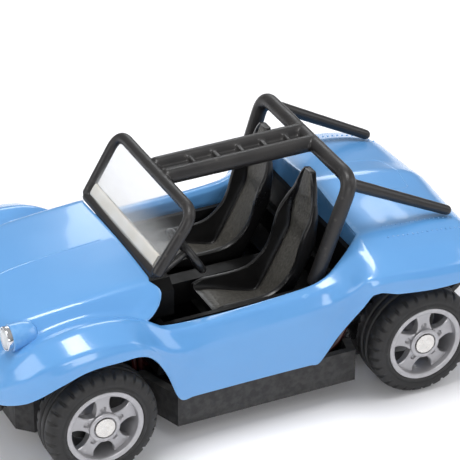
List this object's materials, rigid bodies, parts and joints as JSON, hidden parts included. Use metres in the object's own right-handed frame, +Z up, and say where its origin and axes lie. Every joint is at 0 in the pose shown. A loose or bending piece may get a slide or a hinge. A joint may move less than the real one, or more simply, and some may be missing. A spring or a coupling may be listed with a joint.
{
  "type": "remote control micro buggy",
  "caption": "Open two-seat micro remote control buggy with a roll cage, steered front wheels and a geared rear axle.",
  "frame": {"origin": "centre of the footprint on the ground plane under the tyres", "axes": "+X towards the nose, +Y towards the car's left side, +Z up"},
  "size_m": [0.0648, 0.0344, 0.0277],
  "materials": {
    "body_paint": "gloss",
    "cage_black": "satin",
    "screen_clear": "gloss",
    "cabin_black": "grained satin",
    "seat_black": "grained satin",
    "steering_black": "satin",
    "lamp_silver": "gloss",
    "lamp_clear": "gloss",
    "led_white": "gloss",
    "lamp_red": "gloss",
    "bumper_black": "satin",
    "exhaust_silver": "gloss",
    "chassis_black": "matte",
    "pin_steel": "polished",
    "bush_brass": "satin",
    "rim_silver": "satin metallic",
    "tyre_black": "matte",
    "gear_white": "satin",
    "motor_steel": "brushed",
    "servo_black": "satin",
    "cell_foil": "satin foil",
    "board_green": "gloss",
    "chip_black": "matte",
    "socket_white": "satin",
    "switch_black": "satin",
    "wire_red": "satin",
    "wire_grey": "satin"
  },
  "bodies": {
    "chassis": {"body_shell": "body_paint", "roll_cage": "cage_black", "windscreen": "screen_clear", "cockpit_tub": "cabin_black", "dashboard": "cabin_black", "seat_left": "seat_black", "seat_right": "seat_black", "steering_wheel": "steering_black", "steering_column": "steering_black", "headlight_bezel_left": "lamp_silver", "headlight_bezel_right": "lamp_silver", "headlight_lens_left": "lamp_clear", "headlight_lens_right": "lamp_clear", "headlight_led_left": "led_white", "headlight_led_right": "led_white", "tail_light_left": "lamp_red", "tail_light_right": "lamp_red", "front_bumper": "bumper_black", "rear_bumper": "bumper_black", "exhaust_pipes": "exhaust_silver", "chassis_pan": "chassis_black", "gearbox_case": "chassis_black", "front_beam": "chassis_black", "kingpins": "pin_steel", "steering_servo": "servo_black", "rear_bushes": "bush_brass", "idler_pin": "pin_steel", "motor_can": "motor_steel", "battery": "cell_foil", "receiver_board": "board_green", "board_chips": "chip_black", "charge_socket": "socket_white", "power_switch_case": "switch_black", "body_screws": "pin_steel", "antenna_wire": "wire_grey", "motor_leads": "wire_red", "battery_leads": "wire_red"},
    "rear_wheels": {"rear_axle": "pin_steel", "rear_rim_left": "rim_silver", "rear_rim_right": "rim_silver", "rear_tyre_left": "tyre_black", "rear_tyre_right": "tyre_black", "axle_gear": "gear_white"},
    "idler": {"idler_gear": "gear_white"},
    "pinion": {"motor_pinion": "bush_brass", "motor_shaft": "pin_steel"},
    "steer_left": {"knuckle_left": "chassis_black", "stub_axle_left": "pin_steel"},
    "steer_right": {"knuckle_right": "chassis_black", "stub_axle_right": "pin_steel"},
    "front_wheel_left": {"front_rim_left": "rim_silver", "front_tyre_left": "tyre_black"},
    "front_wheel_right": {"front_rim_right": "rim_silver", "front_tyre_right": "tyre_black"},
    "tie_rod": {"tie_rod": "chassis_black"},
    "servo_arm": {"servo_arm": "gear_white"},
    "trim_knob": {"trim_knob": "chassis_black"},
    "switch": {"power_switch_slider": "switch_black"}
  },
  "joints": [
    {"name": "rear_wheel_spin", "type": "hinge", "parent": "chassis", "child": "rear_wheels", "pos_m": [-0.0187, 0, 0.0065], "axis": [0, 1, 0], "continuous": true},
    {"name": "idler_spin", "type": "hinge", "parent": "chassis", "child": "idler", "pos_m": [-0.01489, 0, 0.00917], "axis": [0, 1, 0], "continuous": true},
    {"name": "pinion_spin", "type": "hinge", "parent": "chassis", "child": "pinion", "pos_m": [-0.01112, 0, 0.00699], "axis": [0, 1, 0], "continuous": true},
    {"name": "steering_left", "type": "hinge", "parent": "chassis", "child": "steer_left", "pos_m": [0.0205, 0.0096, 0.0065], "axis": [0, 0, 1], "range_deg": [-16, 16]},
    {"name": "steering_right", "type": "hinge", "parent": "chassis", "child": "steer_right", "pos_m": [0.0205, -0.0096, 0.0065], "axis": [0, 0, 1], "range_deg": [-16, 16]},
    {"name": "front_left_spin", "type": "hinge", "parent": "steer_left", "child": "front_wheel_left", "pos_m": [0.0205, 0, 0.0065], "axis": [0, 1, 0], "continuous": true},
    {"name": "front_right_spin", "type": "hinge", "parent": "steer_right", "child": "front_wheel_right", "pos_m": [0.0205, 0, 0.0065], "axis": [0, 1, 0], "continuous": true},
    {"name": "tie_rod_slide", "type": "slide", "parent": "chassis", "child": "tie_rod", "axis": [0, 1, 0], "range_m": [-0.00085, 0.00085]},
    {"name": "servo_arm_turn", "type": "hinge", "parent": "chassis", "child": "servo_arm", "pos_m": [0.0145, 0, 0.008], "axis": [0, 0, 1], "range_deg": [-16.1, 16.1]},
    {"name": "trim_turn", "type": "hinge", "parent": "chassis", "child": "trim_knob", "pos_m": [0.0145, 0, 0.0023], "axis": [0, 0, 1], "range_deg": [-20, 20]},
    {"name": "switch_slide", "type": "slide", "parent": "chassis", "child": "switch", "axis": [1, 0, 0], "range_m": [0, 0.0015]}
  ],
  "couplings": [
    {"joint": "idler_spin", "follows": "rear_wheel_spin", "ratio": -2.4444},
    {"joint": "pinion_spin", "follows": "rear_wheel_spin", "ratio": 5.4321},
    {"joint": "steering_right", "follows": "steering_left", "ratio": 1},
    {"joint": "tie_rod_slide", "follows": "steering_left", "m_per_rad": -0.003},
    {"joint": "servo_arm_turn", "follows": "steering_left", "ratio": -1}
  ]
}
